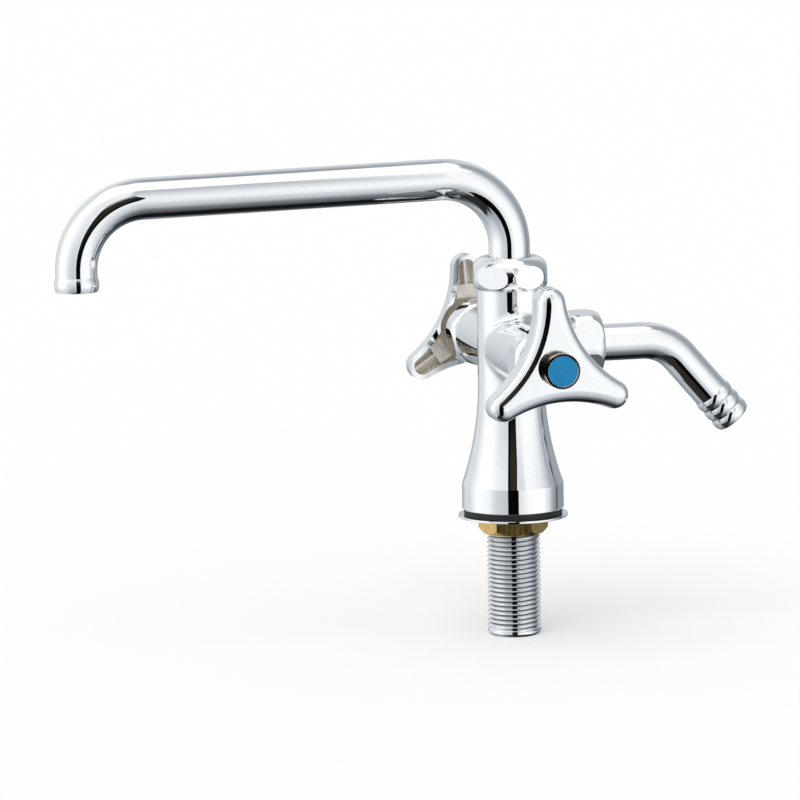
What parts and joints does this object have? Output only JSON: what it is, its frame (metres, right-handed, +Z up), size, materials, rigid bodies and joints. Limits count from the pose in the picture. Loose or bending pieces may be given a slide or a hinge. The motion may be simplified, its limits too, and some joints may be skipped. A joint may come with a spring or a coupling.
{
  "type": "swivel spout faucet",
  "caption": "Deck-mounted tap with a long swivelling spout, a short barbed hose outlet, star handles front and rear, and a threaded shank with gasket, washer and lock nut.",
  "frame": {"origin": "on the column's axis at the deck's top surface, which is the underside of the base gasket", "axes": "+Z up along the column; -X towards the swivel spout's outlet; +X towards the hose outlet; -Y towards the front handle"},
  "size_m": [0.2745, 0.148, 0.1877],
  "materials": {
    "chrome": "polished chrome plate over brass",
    "cast_handle": "polished chrome plate over die-cast zinc",
    "brass": "bare machined brass",
    "rubber": "matt black rubber",
    "packing": "graphited packing",
    "slip_ring": "natural acetal",
    "index_blue": "glossy blue plastic"
  },
  "bodies": {
    "tap_body": {"body": "chrome", "shank": "chrome", "base_gasket": "rubber", "spout_nut": "chrome", "spout_packing": "packing", "spout_slip_ring": "slip_ring", "hose_nut": "chrome", "hose_packing": "packing", "hose_slip_ring": "slip_ring", "front_bonnet_nut": "chrome", "front_packing_washer": "brass", "front_gland_packing": "packing", "rear_bonnet_nut": "chrome", "rear_packing_washer": "brass", "rear_gland_packing": "packing"},
    "spout": {"spout_pipe": "chrome"},
    "hose_spout": {"hose_pipe": "chrome"},
    "front_valve": {"front_jumper": "brass", "front_jumper_washer": "rubber"},
    "front_knob": {"front_spindle": "brass", "front_handle": "cast_handle", "front_index_screw": "chrome", "front_index_disc": "index_blue"},
    "rear_valve": {"rear_jumper": "brass", "rear_jumper_washer": "rubber"},
    "rear_knob": {"rear_spindle": "brass", "rear_handle": "cast_handle", "rear_index_screw": "chrome", "rear_index_disc": "index_blue"},
    "clamp_washer": {"deck_washer": "chrome"},
    "clamp_nut": {"lock_nut": "brass"}
  },
  "joints": [
    {"name": "spout_swivel", "type": "hinge", "parent": "tap_body", "child": "spout", "pos_m": [0, 0, 0.0903], "axis": [0, 0, 1], "continuous": true},
    {"name": "hose_spout_swivel", "type": "hinge", "parent": "tap_body", "child": "hose_spout", "pos_m": [0.0222, 0, 0.0653], "axis": [1, 0, 0], "continuous": true},
    {"name": "front_valve_lift", "type": "slide", "parent": "tap_body", "child": "front_valve", "axis": [0, -1, 0], "range_m": [0, 0.005]},
    {"name": "front_handle_turn", "type": "hinge", "parent": "front_valve", "child": "front_knob", "pos_m": [0, -0.0586, 0.0653], "axis": [0, -1, 0], "range_deg": [0, 722]},
    {"name": "rear_valve_lift", "type": "slide", "parent": "tap_body", "child": "rear_valve", "axis": [0, 1, 0], "range_m": [0, 0.005]},
    {"name": "rear_handle_turn", "type": "hinge", "parent": "rear_valve", "child": "rear_knob", "pos_m": [0, 0.0586, 0.0653], "axis": [0, 1, 0], "range_deg": [0, 722]},
    {"name": "clamp_travel", "type": "slide", "parent": "tap_body", "child": "clamp_washer", "axis": [0, 0, -1], "range_m": [0, 0.035]},
    {"name": "lock_nut_turn", "type": "hinge", "parent": "clamp_washer", "child": "clamp_nut", "pos_m": [0, 0, -0.0045], "axis": [0, 0, -1], "range_deg": [0, 6950]}
  ],
  "couplings": [
    {"joint": "front_handle_turn", "follows": "front_valve_lift", "rad_per_m": 2513.3},
    {"joint": "rear_handle_turn", "follows": "rear_valve_lift", "rad_per_m": 2513.3},
    {"joint": "lock_nut_turn", "follows": "clamp_travel", "rad_per_m": 3463.7}
  ]
}
